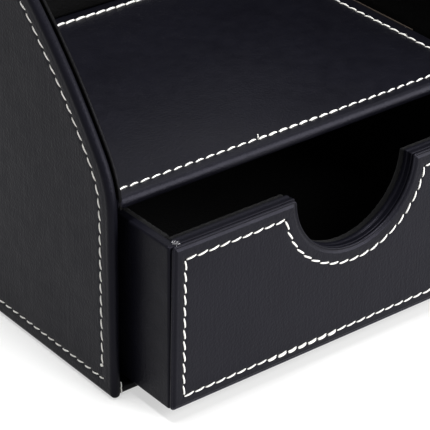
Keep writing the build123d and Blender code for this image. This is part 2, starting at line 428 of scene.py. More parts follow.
def notched_ring(low, high, top, notch, lip, inset, shares=(1, 1)):
    """Half-notched board's outline in (x, z), moved in by inset.

    The notch is a round about (0, top); shares scale the inset on the sides and below.
    """
    d, r, n = inset, softness(inset, NOTCHED_CORNER), softness(inset, lip)
    x0, x1 = low[0] + d * shares[0], high[0] - d * shares[0]
    z0, z1 = low[1] + d * shares[1], high[1] - d
    reach = notch + d
    dip = np.arcsin((d + top - high[1]) / reach)
    mouth = reach * np.cos(dip)
    bend = n / reach
    side, shoulder = samples(high[1] - low[1]), samples(high[0] - notch)
    start = (reach * np.cos(PI + dip + bend), top + reach * np.sin(PI + dip + bend))
    end = (-start[0], start[1])
    runs = [
        line((x0, z0 + r), (x0, z1 - r), side),
        turn((x0, z1 - r), (x0, z1), (x0 + r, z1)),
        line((x0 + r, z1), (-mouth - n, z1), shoulder),
        turn((-mouth - n, z1), (-mouth, z1), start),
        arc((0, top), reach, PI + dip + bend, 2 * PI - dip - bend, samples(PI * notch)),
        turn(end, (mouth, z1), (mouth + n, z1)),
        line((mouth + n, z1), (x1 - r, z1), shoulder),
        turn((x1 - r, z1), (x1, z1), (x1, z1 - r)),
        line((x1, z1 - r), (x1, z0 + r), side),
        turn((x1, z0 + r), (x1, z0), (x1 - r, z0)),
        line((x1 - r, z0), (x0 + r, z0), samples(2 * high[0])),
        turn((x0 + r, z0), (x0, z0), (x0, z0 + r)),
    ]
    return joined(runs, [0, -1, 1, -1, 2, -1, 3, -1, 4, -1, 5, -1])


def drawer_front_ring(inset):
    """The drawer front's outline: its left edge leans in towards the top, as it was glued."""
    low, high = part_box("drawer_front_cover")
    points, legs = notched_ring((low.x, low.z), (high.x, high.z), high.z, NOTCH_RADIUS,
                                NOTCH_LIP, inset, (SIDE_SEAM_SHARE, LOW_SEAM))
    height = (points[:, 1] - low.z) / (high.z - low.z)
    nearness = np.clip((points[:, 0] + NOTCH_RADIUS) / (low.x + NOTCH_RADIUS), 0, 1)
    points[:, 0] += LEAN * height * nearness
    return points, legs


def slab_ring(low, high, inset, shares=(1, 1, 1, 1), corner=CORNER):
    """A rectangle's outline, moved in by inset times its share on the low and high sides.

    shares are for the first axis's low side, its high side, then the second axis's.
    """
    x0, x1 = low[0] + inset * shares[0], high[0] - inset * shares[1]
    y0, y1 = low[1] + inset * shares[2], high[1] - inset * shares[3]
    r = softness(inset, corner)
    across, along = samples(high[0] - low[0]), samples(high[1] - low[1])
    runs = [
        line((x0, y0 + r), (x0, y1 - r), along),
        turn((x0, y1 - r), (x0, y1), (x0 + r, y1)),
        line((x0 + r, y1), (x1 - r, y1), across),
        turn((x1 - r, y1), (x1, y1), (x1, y1 - r)),
        line((x1, y1 - r), (x1, y0 + r), along),
        turn((x1, y0 + r), (x1, y0), (x1 - r, y0)),
        line((x1 - r, y0), (x0 + r, y0), across),
        turn((x0 + r, y0), (x0, y0), (x0, y0 + r)),
    ]
    return joined(runs, [0, -1, 1, -1, 2, -1, 3, -1])


def slab(box, axis, corner=CORNER):
    """A ring function: the outline of a box as it is seen along an axis."""
    a, b = (k for k in range(3) if k != axis)
    low, high = ((end[a], end[b]) for end in box)
    return lambda inset: slab_ring(low, high, inset, corner=corner)


def facing(axis, level, way):
    """A place function for a board across an axis: its near face is at level, and its depth
    runs up the axis where way is 1 and down it where way is -1."""
    def place(points, depth):
        columns = [points[:, 0], points[:, 1]]
        columns.insert(axis, level + way * depth)
        return np.column_stack(columns)
    return place


# ------------------------------------------------------------------ wrapped boards
BAND = 8.0 * MM              # width of the finely meshed border of a face
ROWS = 18                    # rings in that border, on the sewn side
FAR_ROWS = 5                 # and on the other side
PLAIN_BAND, PLAIN_ROWS = 5.0 * MM, 8       # the same for a face without a seam
LINING_BAND, LINING_ROWS = 4.0 * MM, 9
FILL_STEP = 6.0 * MM         # spacing of the points in the middle of a face


def rim_profile(thickness, near, far, band=BAND, rows=ROWS):
    """(inset, depth) pairs across a wrapped board, from the far face over the rim to the near.

    The rim is two quarter rounds, near and far, joined by a flat; the faces run in to band.
    """
    a = np.linspace(0, PI / 2, 6)
    flat_far = np.linspace(band, far, FAR_ROWS, endpoint=False)
    flat_near = np.linspace(near, band, rows)[1:]
    inset = np.concatenate([flat_far, far - far * np.sin(a), near - near * np.cos(a), flat_near])
    depth = np.concatenate([
        np.full(len(flat_far), thickness), thickness - far + far * np.cos(a),
        near - near * np.sin(a), np.zeros(len(flat_near))])
    return inset, depth


# the thin drawer front's rim, as (inset in mm, share of the thickness) from its far face: the
# near edge rounds back into a shallow valley, then a narrow bead where the leather is folded hard
BEADED_RIM = ((0.9, 1.0), (0.35, 0.97), (0.1, 0.85), (0.0, 0.65), (0.02, 0.45), (0.12, 0.32),
              (0.3, 0.27), (0.48, 0.31), (0.64, 0.4), (0.82, 0.41), (1.02, 0.32), (1.25, 0.18),
              (1.5, 0.06), (1.8, 0.0))
# the drawer's inner front: a crisp front edge, then a groove where two leathers meet on the board
LAYERED_RIM = ((0.5, 1.0), (0.15, 0.96), (0.0, 0.88), (0.0, 0.64), (0.1, 0.58), (0.45, 0.53),
               (0.1, 0.48), (0.0, 0.42), (0.02, 0.2), (-0.12, 0.13), (-0.16, 0.08),
               (-0.1, 0.03), (0.08, 0.0))


def carved_profile(rim, thickness, band=BAND, rows=ROWS):
    """(inset, depth) across a board whose rim is given point by point."""
    inset, share = np.array(rim).T
    inset = inset * MM
    flat_far = np.linspace(band, inset[0], FAR_ROWS, endpoint=False)
    flat_near = np.linspace(inset[-1], band, rows)[1:]
    depth = np.concatenate([np.full(len(flat_far), thickness), share * thickness,
                            np.zeros(len(flat_near))])
    return np.concatenate([flat_far, inset, flat_near]), depth


def holes_on(points, marks, spacing, first=None):
    """Needle holes for each leg of a seam: evenly spaced from corner to corner, or, where first
    gives a leg its offset, at that offset and every pitch after it, with a hole at each corner."""
    ends = {}
    closed = np.vstack([points, points[:1]])
    step = np.linalg.norm(np.diff(closed, axis=0), axis=1)
    for leg in sorted(set(marks) - {-1}):
        pitch = spacing.get(leg, sizes().stitch_length)
        place = np.flatnonzero(marks == leg)
        run = closed[place[0]:place[-1] + 2]
        length = np.concatenate([[0], np.cumsum(step[place])])
        whole = length[-1]
        if first and leg in first:
            inner = np.arange(first[leg], whole, pitch)
            inner = inner[(inner > 0.45 * pitch) & (inner < whole - 0.45 * pitch)]
            stops = np.concatenate([[0], inner, [whole]])
        else:
            stops = np.linspace(0, whole, int(round(whole / pitch)) + 1)
        ends[leg] = np.column_stack([np.interp(stops, length, run[:, k]) for k in (0, 1)])
    return ends


def seam_relief(inset, seam, nearest):
    """How far the leather is drawn in at one ring: a groove along the seam, deeper at the holes,
    a faint swelling on both sides, and a crease where the sheet bends towards the rim."""
    off = inset - seam
    groove = np.exp(-(off / (0.7 * MM)) ** 2)
    pull = 0.35 + 0.65 * np.exp(-(nearest / (0.7 * MM)) ** 2)
    swell = np.exp(-((abs(off) - 1.9 * MM) / (0.9 * MM)) ** 2)
    crease = np.exp(-((inset - 2.5 * MM) / (0.45 * MM)) ** 2)
    return sizes().seam_depth * (groove * pull - 0.12 * swell) + 0.03 * MM * crease


def fill(ring, spacing):
    """Triangles over the middle of a face, with points added on a grid inside the ring."""
    count = len(ring)
    low, high = ring.min(0), ring.max(0)
    x = np.arange(low[0] + spacing / 2, high[0], spacing)
    y = np.arange(low[1] + spacing / 2, high[1], spacing)
    grid = np.array([(a, b) for a in x for b in y]).reshape(-1, 2)
    if len(grid):
        away = np.linalg.norm(grid[:, None] - ring[None, ::4], axis=2).min(1)
        grid = grid[away > 0.45 * spacing]
    cloud = [Vector(p) for p in np.vstack([ring, grid])]
    places, _, faces, origins, _, _ = delaunay_2d_cdt(cloud, [], [list(range(count))], 1, 1e-9)
    return places, faces, origins


def wrapped(name, ring, profile, place, seam=None, pitch=None, first=None, ruffle=0.0):
    """A board in its leather: rings of the outline at each inset of the profile, both faces
    closed in the middle. place turns (outline point, depth) into a point of the frame."""
    insets, depths = profile
    rows = [ring(d)[0] for d in insets]
    nearest = None
    holes = {}
    if seam:
        path, marks = ring(seam)
        holes = holes_on(path, marks, pitch or {}, first)
        every = np.vstack(list(holes.values()))
        nearest = np.linalg.norm(path[:, None] - every[None], axis=2).min(1)
    thickness = depths.max()
    sheets = []
    for points, d, h in zip(rows, insets, depths):
        depth = np.full(len(points), h)
        if seam and h < 0.5 * thickness:
            depth = depth + seam_relief(d, seam, nearest)
        sheets.append(place(points, depth))
    count = len(rows[0])
    verts = np.vstack(sheets)
    if ruffle:
        verts = verts + ruffled(verts, ruffle)
    here = np.arange(count)
    ahead = np.roll(here, -1)
    quads = []
    for k in range(len(sheets) - 1):
        a, b = k * count, (k + 1) * count
        quads.append(np.column_stack([a + here, a + ahead, b + ahead, b + here]))
    faces = np.vstack(quads).tolist()
    extra = []
    for row, start in ((len(sheets) - 1, (len(sheets) - 1) * count), (0, 0)):
        flat, triangles, origins = fill(rows[row], FILL_STEP)
        index = []
        for point, origin in zip(flat, origins):
            if origin and origin[0] < count:
                index.append(start + origin[0])
            else:
                index.append(len(verts) + len(extra))
                extra.append(place(np.array([point]), np.array([depths[row]]))[0])
        faces += [[index[i] for i in triangle] for triangle in triangles]
    piece = mesh_piece(name, np.vstack([verts, *extra]), faces)
    return piece, holes


def ruffled(verts, amount):
    """Small uneven shifts of a fibrous surface: three sine waves that never line up."""
    u = verts / (0.8 * MM)
    return amount * np.column_stack([
        np.sin(1.9 * u[:, 1] + 2.3 * u[:, 2]) * np.sin(1.3 * u[:, 0] + 0.7),
        np.sin(2.1 * u[:, 0] + 1.1 * u[:, 2]) * np.sin(1.7 * u[:, 1] + 1.9),
        np.sin(1.5 * u[:, 0] + 2.7 * u[:, 1]) * np.sin(2.3 * u[:, 2] + 0.3)])


def in_scene(name, data):
    """A new object with that mesh, light or camera."""
    made = bpy.data.objects.new(name, data)
    bpy.context.scene.collection.objects.link(made)
    return made


def mesh_piece(name, verts, faces):
    """A smooth mesh object from points and faces, with doubles merged and faces outwards."""
    mesh = bpy.data.meshes.new(name)
    mesh.from_pydata(np.asarray(verts).tolist(), [], faces)
    work = bmesh.new()
    work.from_mesh(mesh)
    bmesh.ops.remove_doubles(work, verts=work.verts, dist=1e-7)
    bmesh.ops.recalc_face_normals(work, faces=work.faces)
    work.to_mesh(mesh)
    work.free()
    mesh.polygons.foreach_set("use_smooth", np.ones(len(mesh.polygons), bool))
    return in_scene(name, mesh)


def finish(piece, body, finish_name, slot, *nodes):
    """Gives a piece its material and its body, and hides the frame nodes that it stands for."""
    piece.data.materials.append(material(finish_name))
    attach(piece, body)
    if nodes:
        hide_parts(*nodes)
    return piece


# ------------------------------------------------------------------ stitches
AROUND = 8                   # points round a stitch
ALONG = 7                    # rings along it
HOLE_RADIUS = 0.42 * MM
ASKEW = (0.3, 0.5, 0.8)      # a direction that no panel faces
DRAWS = np.random.default_rng(11)


def stitch_bars(starts, ends, normal, lift=0.0, width=None, dive=1.0, cover=0.93):
    """Stitches between pairs of holes: bars that rise out of one hole, arch over the leather
    and dive into the next, turned by the slant, each a little different from its neighbours."""
    width = width or sizes().thread_width
    normal = np.asarray(normal, float)
    t = np.linspace(0, 1, ALONG)
    run = ends - starts
    length = np.linalg.norm(run, axis=1, keepdims=True)
    ahead = run / length
    across = np.cross(np.broadcast_to(normal, ahead.shape), ahead)
    chance = DRAWS.uniform(-1, 1, (len(starts), 4))
    share = 0.5 + (t - 0.5)[None] * (cover + 0.05 * (1 - dive) + 0.03 * chance[:, :1])
    arch = np.sin(PI * t) ** 0.6
    slant = np.tan(sizes().seam_slant + 0.035 * chance[:, 1:2]) * (t - 0.5)[None]
    height = width * (0.62 * arch[None] * (1 + 0.12 * chance[:, 2:3]) - 0.34) * dive
    height = height + width * 0.28 * (1 - dive)
    aside = length * slant + 0.05 * MM * chance[:, 3:4]
    centre = (starts[:, None] + run[:, None] * share[:, :, None] + across[:, None]
              * aside[:, :, None] + normal * (lift + height)[:, :, None])
    half = 0.5 * width * (1 - 0.34 * dive * (1 - np.sin(PI * t) ** 0.5))
    angle = np.linspace(0, 2 * PI, AROUND, endpoint=False)
    ring = (across[:, None, None] * np.cos(angle)[None, None, :, None]
            + normal * (0.8 * np.sin(angle))[None, None, :, None])
    return centre, centre[:, :, None] + ring * half[None, :, None, None]


def bar_faces():
    """Faces and their UVs for one stitch: quads between its rings, then a fan at each end."""
    a = np.arange(AROUND)
    b = (a + 1) % AROUND
    k = 1 + AROUND * np.arange(ALONG - 1)[:, None]
    quads = np.stack([k + a, k + AROUND + a, k + AROUND + b, k + b], 2).reshape(-1, 4)
    j = np.arange(ALONG - 1)[:, None]
    corner = np.stack(np.broadcast_arrays(j, a, j + 1, a, j + 1, a + 1, j, a + 1), 2)
    tail = 1 + AROUND * (ALONG - 1)
    last = 1 + AROUND * ALONG
    fans = np.vstack([np.column_stack([np.zeros_like(a), 1 + a, 1 + b]),
                      np.column_stack([np.full_like(a, last), tail + b, tail + a])])
    zero, end = np.zeros_like(a), np.full_like(a, ALONG)
    fan_uv = np.vstack([np.column_stack([zero, a + 0.5, zero, a, zero, a + 1]),
                        np.column_stack([end, a + 0.5, end - 1, a + 1, end - 1, a])])
    return quads, corner.reshape(-1, 2), fans, fan_uv.reshape(-1, 2), last + 1


def disc_faces():
    """Faces of one dark round of painted shade over a needle hole: a fan over its rim."""
    a = np.arange(AROUND)
    return np.column_stack([np.zeros_like(a), 1 + a, 1 + (a + 1) % AROUND]), AROUND + 1


def hole_shade_rounds(spots, normal, radius):
    """Rims and centres of the dark rounds over the needle holes: painted shade, small rounds lying
    on the drawn-in leather.
    """
    normal = np.asarray(normal, float)
    side = np.cross(normal, ASKEW)
    side /= np.linalg.norm(side)
    up = np.cross(normal, side)
    angle = np.linspace(0, 2 * PI, AROUND, endpoint=False)
    rim = radius * (np.outer(np.cos(angle), side) + np.outer(np.sin(angle), up))
    every = np.vstack([np.zeros(3), rim])
    return spots[:, None] + every[None]


def thread(name, groups, body, holes=()):
    """One piece for the stitches of a panel. groups holds stitch_bars' arguments; holes holds
    (places, normal) of the needle holes, whose dark rounds of painted shade are the piece's second
    material."""
    bars = [stitch_bars(*group) for group in groups]
    centre = np.concatenate([bar[0] for bar in bars])
    skin = np.concatenate([bar[1] for bar in bars])
    count = len(centre)
    verts = np.concatenate([centre[:, :1], skin.reshape(count, -1, 3), centre[:, -1:]], 1)
    quads, quad_uv, fans, fan_uv, size = bar_faces()
    shift = size * np.arange(count)[:, None, None]
    faces = (quads[None] + shift).reshape(-1, 4).tolist()
    faces += (fans[None] + shift).reshape(-1, 3).tolist()
    uv = np.concatenate([np.tile(quad_uv, (count, 1)), np.tile(fan_uv, (count, 1))])
    verts = verts.reshape(-1, 3)
    slots = np.zeros(len(faces), int)
    if holes:
        # dark rounds over the needle holes: painted shade
        rounds = np.concatenate([hole_shade_rounds(at, normal, HOLE_RADIUS) for at, normal in holes])
        fan, one = disc_faces()
        more = fan[None] + len(verts) + one * np.arange(len(rounds))[:, None, None]
        faces += more.reshape(-1, 3).tolist()
        slots = np.concatenate([slots, np.ones(len(more) * len(fan), int)])
        uv = np.concatenate([uv, np.zeros((3 * len(more) * len(fan), 2))])
        verts = np.vstack([verts, rounds.reshape(-1, 3)])
    mesh = bpy.data.meshes.new(name)
    mesh.from_pydata(verts.tolist(), [], faces)
    layer = mesh.uv_layers.new(name="thread")
    layer.data.foreach_set("uv", (uv / (ALONG, AROUND)).ravel())
    mesh.polygons.foreach_set("use_smooth", np.ones(len(faces), bool))
    mesh.materials.append(material("thread"))
    mesh.materials.append(material("painted_hole_shade"))
    mesh.polygons.foreach_set("material_index", slots)
    piece = in_scene(name, mesh)
    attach(piece, body)
    return piece


def seam_group(spots, normal, skip=0, lift=0.0, width=None, dive=1.0, cover=0.93):
    """Stitches from each place to the next, leaving out the first few."""
    return (spots[skip:-1], spots[skip + 1:], normal, lift, width, dive, cover)


def sewn(holes, place):
    """Places in the frame of each leg's needle holes, and of the dark rounds of painted shade over
    them.
    """
    depth = 0.55 * sizes().seam_depth
    spots = {leg: place(at, np.full(len(at), depth)) for leg, at in holes.items()}
    rounds = [place(at, np.full(len(at), 0.8 * sizes().seam_depth)) for at in holes.values()]
    return spots, np.vstack(rounds)


def again(spots, low, high, normal, aside):
    """A second pass over part of a seam, as at its start and end: stitches from the same holes,
    lying beside and partly on the first thread. low and high bound its x."""
    part = spots[(spots[:, 0] > low) & (spots[:, 0] < high)]
    run = part[1:] - part[:-1]
    across = np.cross(normal, run[0] / np.linalg.norm(run[0]))
    start = part[:-1] + 0.1 * run + aside * across
    return (start, start + 0.82 * run, normal, 0.12 * MM, None, 0.75)


def blob(name, centre, radii, body):
    """A small knot of thread: an ellipsoid with a lumpy radius, on an angle grid."""
    around, rows = 12, 7
    u = np.linspace(0, 2 * PI, around, endpoint=False)[None]
    v = np.linspace(0, PI, rows + 2)[1:-1, None]
    bump = 1 + 0.16 * np.sin(3 * u + 1) * np.sin(2 * v)
    grid = np.stack([bump * np.sin(v) * np.cos(u), bump * np.sin(v) * np.sin(u),
                     bump * np.cos(v) * np.ones_like(u)], 2).reshape(-1, 3)
    verts = np.vstack([grid, [[0, 0, 1]], [[0, 0, -1]]]) * radii + centre
    a = np.arange(around)
    b = (a + 1) % around
    k = around * np.arange(rows - 1)[:, None]
    top, last = around * rows, around * (rows - 1)
    faces = np.stack([k + a, k + around + a, k + around + b, k + b], 2).reshape(-1, 4).tolist()
    faces += np.column_stack([a, b, np.full(around, top)]).tolist()
    faces += np.column_stack([last + b, last + a, np.full(around, top + 1)]).tolist()
    piece = mesh_piece(name, verts, faces)
    piece.data.materials.append(material("thread"))
    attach(piece, body)
    return piece


# ------------------------------------------------------------------ the holder's panels
SIDES = (("left", -1), ("right", 1))
SIDE_SEAM = 5.5 * MM         # seams, from the edge of their board
SHELF_SEAM = 5.3 * MM
FRONT_SEAM = 5.1 * MM
EDGE = 1.1 * MM              # rounding of the leather over a board's edge
FINE = 0.57 * MM             # the side panels are sewn with a finer thread
SHORT = 0.86                 # and its stitches show a shorter part of their length
RIM = 1.7 * MM               # the side panels' edges are rounded right over
NOSE = 2.15 * MM             # rounding of the shelf's rolled front edge
OVERRUN = 1.0 * MM           # the side seam's last stitch along the foot runs past the corner
SECOND_PASS = 0.4 * MM       # where a seam is sewn twice, the second thread lies this far aside
LINER_GAP = 0.8 * MM         # dark groove between a side panel and its liner
LINER_THICK = 1.2 * MM
LINER_EDGE = 0.5 * MM        # rounding of a side liner's edges
REAR_LINER_EDGE = 0.7 * MM


class MEMO_OT_side_panels(bpy.types.Operator):
    """Wrap both side panels in leather and sew their borders"""

    bl_idname = "memo.side_panels"
    bl_label = "Side panels"

    def execute(self, context):
        low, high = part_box("left_side_cover")
        profile = rim_profile(high.x - low.x, RIM, RIM)
        for name, side in SIDES:
            place = facing(0, -side * low.x, -side)
            panel, holes = wrapped(f"{name}_side_panel_leather", side_ring, profile, place,
                                   SIDE_SEAM, {0: 4.3 * MM, 1: 4.1 * MM},
                                   {0: 0.7 * MM, 1: 3.3 * MM})
            # the duller copy of the leather: painted shade on the side panels
            finish(panel, "housing", "side_leather_painted_shade", "leather", f"{name}_side_cover")
            holes[1][-1, 0] -= OVERRUN
            spots, rounds = sewn(holes, place)
            normal = (side, 0, 0)
            groups = [seam_group(spots[leg], normal, skip, 0.0, FINE, 1.0, SHORT)
                      for leg, skip in ((0, 1), (1, 0))]
            thread(f"{name}_side_panel_stitching", groups, "housing", [(rounds, normal)])
            knot = spots[0][1] + np.array([side * 0.28 * MM, 0, 0])
            blob(f"{name}_side_panel_knot", knot, (0.42 * MM, 0.62 * MM, 0.5 * MM), "housing")
        return {"FINISHED"}


def liner_face():
    """How far from the middle the faces of the side liners stand."""
    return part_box("right_side_cover")[0].x - LINER_GAP - LINER_THICK


class MEMO_OT_liners(bpy.types.Operator):
    """Line the inside of the tray: two side liners behind a dark groove, and the rear liner"""

    bl_idname = "memo.liners"
    bl_label = "Tray liners"

    def execute(self, context):
        profile = rim_profile(LINER_THICK, LINER_EDGE, LINER_EDGE, PLAIN_BAND, PLAIN_ROWS)
        for name, side in SIDES:
            liner, _ = wrapped(f"{name}_tray_liner", liner_ring, profile,
                               facing(0, side * liner_face(), side), ruffle=0.07 * MM)
            finish(liner, "housing", "liner", "leather", f"{name}_side_liner")
        low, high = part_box("back_liner")
        profile = rim_profile(high.y - low.y, REAR_LINER_EDGE, REAR_LINER_EDGE, PLAIN_BAND,
                              PLAIN_ROWS)
        liner, _ = wrapped("rear_tray_liner", slab((low, high), 1, LINER_CORNER), profile,
                           facing(1, low.y, 1))
        finish(liner, "housing", "liner", "leather", "back_liner")
        return {"FINISHED"}


class MEMO_OT_back_panel(bpy.types.Operator):
    """Wrap the back panel in leather and sew its border on the outside"""

    bl_idname = "memo.back_panel"
    bl_label = "Back panel"

    def execute(self, context):
        low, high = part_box("back_cover")
        behind = (0, 1, 0)
        place = facing(1, high.y, -1)
        panel, holes = wrapped("back_panel_leather", slab((low, high), 1),
                               rim_profile(high.y - low.y, EDGE, EDGE), place, SIDE_SEAM)
        finish(panel, "housing", "leather", "leather", "back_cover")
        spots, rounds = sewn(holes, place)
        groups = [seam_group(spots[leg], behind) for leg in spots]
        thread("back_panel_stitching", groups, "housing", [(rounds, behind)])
        return {"FINISHED"}


SHELF_CORNER = 2.6 * MM
SHELF_SHARES = (0.66, 1.33, 1.0, 1.34)     # seam distances: left, right, front and rear


def shelf_ring(inset):
    """Shelf outline in (x, y): its corners are drawn in round, and its seam runs nearest to
    the left wall."""
    low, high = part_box("shelf_cover")
    return slab_ring((low.x, low.y), (high.x, high.y), inset, SHELF_SHARES, SHELF_CORNER)


class MEMO_OT_shelf(bpy.types.Operator):
    """Wrap the tray shelf, with its rolled front edge, and sew its border"""

    bl_idname = "memo.shelf"
    bl_label = "Tray shelf"

    def execute(self, context):
        low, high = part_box("shelf_cover")
        up = (0, 0, 1)
        place = facing(2, high.z, -1)
        profile = rim_profile(high.z - low.z, NOSE, NOSE)
        shelf, holes = wrapped("tray_shelf_leather", shelf_ring, profile, place, SHELF_SEAM,
                               {1: 4.3 * MM, 2: 4.4 * MM}, {1: 3.0 * MM, 2: 4.4 * MM})
        finish(shelf, "housing", "leather", "leather", "shelf_cover")
        spots, rounds = sewn(holes, place)
        groups = [seam_group(spots[0], up),
                  seam_group(spots[1], up, 0, 0.1 * MM, 0.95 * MM, 0.3),
                  seam_group(spots[2], up, 0, 0.0, 0.8 * MM),
                  seam_group(spots[3], up),
                  again(spots[3], -20 * MM, 17 * MM, up, SECOND_PASS)]
        tail = np.array([[-18.3 * MM, spots[3][0, 1] + 0.1 * MM, high.z + 0.1 * MM]])
        groups.append((tail, tail + np.array([[0.25, 0.1, 1.35]]) * MM, (0, -1, 0), 0.0,
                       0.5 * MM, 0.4))
        thread("tray_shelf_stitching", groups, "housing", [(rounds, up)])
        # a thin brown strip along the right liner's foot, where a brownish line shows at the shelf
        first, last = (-26 * MM, high.z - 0.2 * MM), (52 * MM, high.z + 0.34 * MM)
        edge, _ = wrapped("right_liner_brown_line",
                          lambda inset: slab_ring(first, last, inset, corner=0.25 * MM),
                          (np.array([0.2, 0.12, 0.0, 0.0, 0.12, 0.2]) * MM,
                           np.array([0.4, 0.4, 0.3, 0.1, 0.0, 0.0]) * MM),
                          facing(0, liner_face() - 0.28 * MM, 1))
        finish(edge, "housing", "brown_line_strip", "greyboard")
        return {"FINISHED"}


# ------------------------------------------------------------------ the drawer
FRONT_THICK = 1.5 * MM
CORE_THICK = 0.7 * MM        # board inside the drawer's front
CORE_EDGE = 0.1 * MM
CORE_INSET = 1.6 * MM        # it stays this far inside the front's outline
CORE_DEPTH = 0.4 * MM        # and this far behind its face
WALL_FRONT = 1.62 * MM       # the box's walls reach this far behind the front's face
WALL = 3.2 * MM              # thickness of the box's walls
WALL_EDGES = (0.75 * MM, 0.5 * MM)         # rounding of a wall's outer and inner edge
LAP = 0.2 * MM               # the inner front reaches this far into the side walls
NOTCH_EDGE = 0.45 * MM       # rounding of the inner notches' lips
LINING_CORNER = 0.7 * MM
LINING_EDGE = 0.8 * MM       # rounding of a lining's edge towards the room inside
ROUGH = 0.09 * MM            # unevenness of the lining's cut edges


class MEMO_OT_drawer_front(bpy.types.Operator):
    """Wrap the drawer's front panel and sew round it and its notch"""

    bl_idname = "memo.drawer_front"
    bl_label = "Drawer front"

    def execute(self, context):
        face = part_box("drawer_front_cover")[0].y
        ahead = (0, -1, 0)
        place = facing(1, face, 1)
        front, holes = wrapped("drawer_front_leather", drawer_front_ring,
                               carved_profile(BEADED_RIM, FRONT_THICK), place, FRONT_SEAM)
        finish(front, "drawer", "leather", "leather", "drawer_front_cover")
        core, _ = wrapped("drawer_front_greyboard",
                          lambda inset: drawer_front_ring(inset + CORE_INSET),
                          rim_profile(CORE_THICK, CORE_EDGE, CORE_EDGE, LINING_BAND, 3),
                          facing(1, face + CORE_DEPTH, 1))
        finish(core, "drawer", "greyboard", "greyboard", "drawer_front_board")
        spots, rounds = sewn(holes, place)
        groups = [seam_group(spots[leg], ahead) for leg in spots]
        groups.append(again(spots[5], -39 * MM, -5 * MM, ahead, SECOND_PASS))
        thread("drawer_front_stitching", groups, "drawer", [(rounds, ahead)])
        return {"FINISHED"}


def wall_box():
    """Extents of the drawer's box, its front wall reaching up behind the front panel."""
    low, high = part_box("drawer_box_cover")
    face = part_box("drawer_front_cover")[0].y
    return Vector((low.x, face + WALL_FRONT, low.z)), high


class MEMO_OT_drawer_box(bpy.types.Operator):
    """Wrap the four walls of the drawer's box, the front one cut to the notch"""

    bl_idname = "memo.drawer_box"
    bl_label = "Drawer box"

    def execute(self, context):
        low, high = wall_box()
        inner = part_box("drawer_inner_front_board")[1].y + 0.7 * MM
        plain = rim_profile(WALL, *WALL_EDGES, PLAIN_BAND, PLAIN_ROWS)
        layered = carved_profile(LAYERED_RIM, inner - low.y, PLAIN_BAND, PLAIN_ROWS)

        def rear(inset):
            return slab_ring((low.x + WALL, low.z), (high.x - WALL, high.z), inset,
                             corner=0.9 * MM)

        def cut(inset):
            return notched_ring((low.x + WALL - LAP, low.z), (high.x - WALL + LAP, high.z),
                                high.z, NOTCH_RADIUS + 0.1 * MM, NOTCH_EDGE, inset)
        walls = [(f"{name}_wall", slab((low, high), 0, 1.0 * MM), plain,
                  facing(0, side * high.x, -side)) for name, side in SIDES]
        walls.append(("rear_wall", rear, plain, facing(1, high.y, -1)))
        walls.append(("inner_front", cut, layered, facing(1, low.y, 1)))
        for name, ring, profile, place in walls:
            wall, _ = wrapped(f"drawer_{name}_leather", ring, profile, place)
            # the duller copy of the leather: painted shade on the drawer's walls
            finish(wall, "drawer", "side_leather_painted_shade", "leather", "drawer_box_cover")
        return {"FINISHED"}


class MEMO_OT_drawer_lining(bpy.types.Operator):
    """Line the drawer: flocked board with rough cut edges on its four sides"""

    bl_idname = "memo.drawer_lining"
    bl_label = "Drawer lining"

    def execute(self, context):
        first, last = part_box("drawer_front_lining")
        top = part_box("drawer_front_cover")[1].z

        def cut(inset):
            return notched_ring((first.x, first.z), (last.x, last.z), top,
                                NOTCH_RADIUS + 0.5 * MM, NOTCH_EDGE, inset)
        boards = []
        for name, side in SIDES:
            low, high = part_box(f"drawer_{name}_lining")
            boards.append((name, slab((low, high), 0, LINING_CORNER), high.x - low.x, 0.3 * MM,
                           facing(0, low.x if side > 0 else high.x, side)))
        low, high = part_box("drawer_rear_lining")
        boards.append(("rear", slab((low, high), 1, LINING_CORNER), high.y - low.y, 0.3 * MM,
                       facing(1, low.y, 1)))
        boards.append(("front", cut, last.y - first.y, 0.5 * MM, facing(1, last.y, -1)))
        for name, ring, thickness, back, place in boards:
            profile = rim_profile(thickness, LINING_EDGE, back, LINING_BAND, LINING_ROWS)
            sheet, _ = wrapped(f"drawer_{name}_lining_board", ring, profile, place, ruffle=ROUGH)
            finish(sheet, "drawer", "lining", "suede_lining", f"drawer_{name}_lining")
        return {"FINISHED"}


class MEMO_OT_loose_ends(bpy.types.Operator):
    """Add the thread end beside the base and the frayed fibres at the drawer's front corner"""

    bl_idname = "memo.loose_ends"
    bl_label = "Loose ends"

    def execute(self, context):
        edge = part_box("left_side_cover")
        x, y = edge[1].x - 0.35 * MM, edge[0].y + 0.25 * MM
        start = np.array([[x, y, 1.4 * MM], [x - 0.1 * MM, y - 0.05 * MM, 3.5 * MM]])
        end = np.array([[x - 0.1 * MM, y - 0.05 * MM, 3.7 * MM], [x, y, 5.9 * MM]])
        thread("panel_thread_end", [(start, end, (0.5, -0.86, 0), 0.1 * MM, 0.5 * MM, 0.4)],
               "housing")
        low, high = wall_box()
        fibres = 34
        root = np.array([low.x + WALL + 0.3 * MM, low.y + 0.8 * MM, high.z + 0.05 * MM])
        spread = DRAWS.uniform(-1, 1, (fibres, 3)) * np.array([0.9, 1.3, 0.15]) * MM
        lean = DRAWS.uniform(-1, 1, (fibres, 3)) * np.array([0.5, 0.5, 0.25]) * MM
        starts = root + spread
        ends = starts + lean + np.array([0, 0, 0.25 * MM])
        fray = thread("drawer_corner_fray", [(starts, ends, (0, 0, 1), 0.0, 0.1 * MM, 0.3)],
                      "drawer")
        fray.data.materials[0] = material("fray")
        return {"FINISHED"}


# ------------------------------------------------------------------ frame pieces kept as they are
KEPT = {
    "leather": ["drawer_bottom_cover"],
    "liner": ["base_cover"],
    "greyboard": ["left_side_board", "right_side_board", "back_board", "shelf_board",
                  "base_board", "drawer_inner_front_board", "drawer_left_board",
                  "drawer_right_board", "drawer_rear_board", "drawer_bottom_board"],
    "black_board": ["left_support_wall", "right_support_wall", "cavity_back_wall",
                    "runner_lining"],
    "felt": ["base_felt"],
    "lining": ["drawer_floor_lining"],
}


